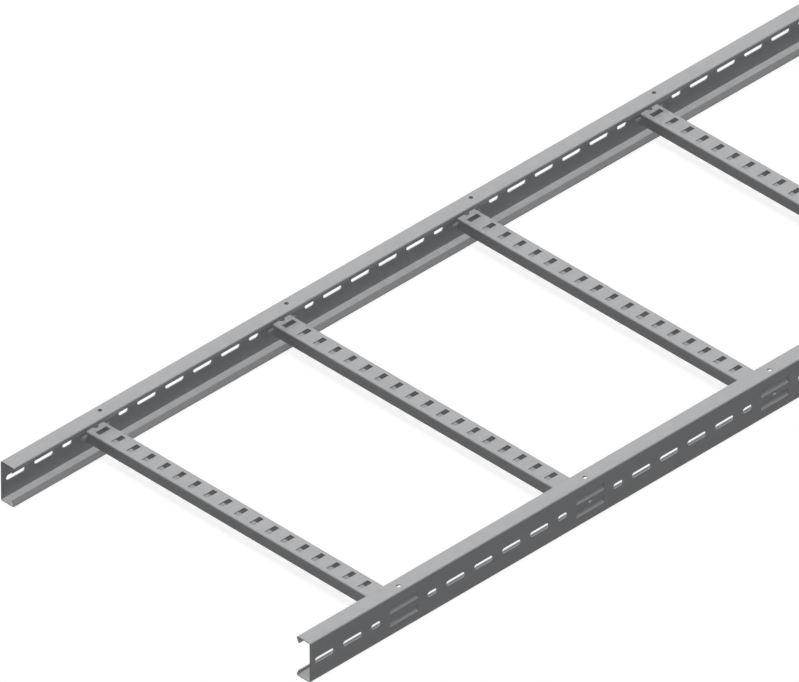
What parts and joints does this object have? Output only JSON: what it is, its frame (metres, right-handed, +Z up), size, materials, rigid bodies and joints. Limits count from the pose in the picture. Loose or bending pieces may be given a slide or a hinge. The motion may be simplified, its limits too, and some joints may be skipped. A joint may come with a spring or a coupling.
{
  "type": "cable ladder section",
  "caption": "Straight steel cable ladder section: two perforated side rails with lipped flanges, joined by slotted channel rungs.",
  "frame": {"origin": "middle of the length and width, on the underside of the bottom flanges", "axes": "+Y along the ladder, +X across it towards the right rail, +Z up"},
  "size_m": [0.5024, 3, 0.055],
  "materials": {
    "rail_sheet": "galvanised sheet, matt",
    "rung_sheet": "galvanised sheet, matt"
  },
  "bodies": {
    "root": {"side_rail_left": "rail_sheet", "side_rail_right": "rail_sheet", "rung_01": "rung_sheet", "rung_02": "rung_sheet", "rung_03": "rung_sheet", "rung_04": "rung_sheet", "rung_05": "rung_sheet", "rung_06": "rung_sheet", "rung_07": "rung_sheet", "rung_08": "rung_sheet", "rung_09": "rung_sheet", "rung_10": "rung_sheet"}
  },
  "joints": []
}
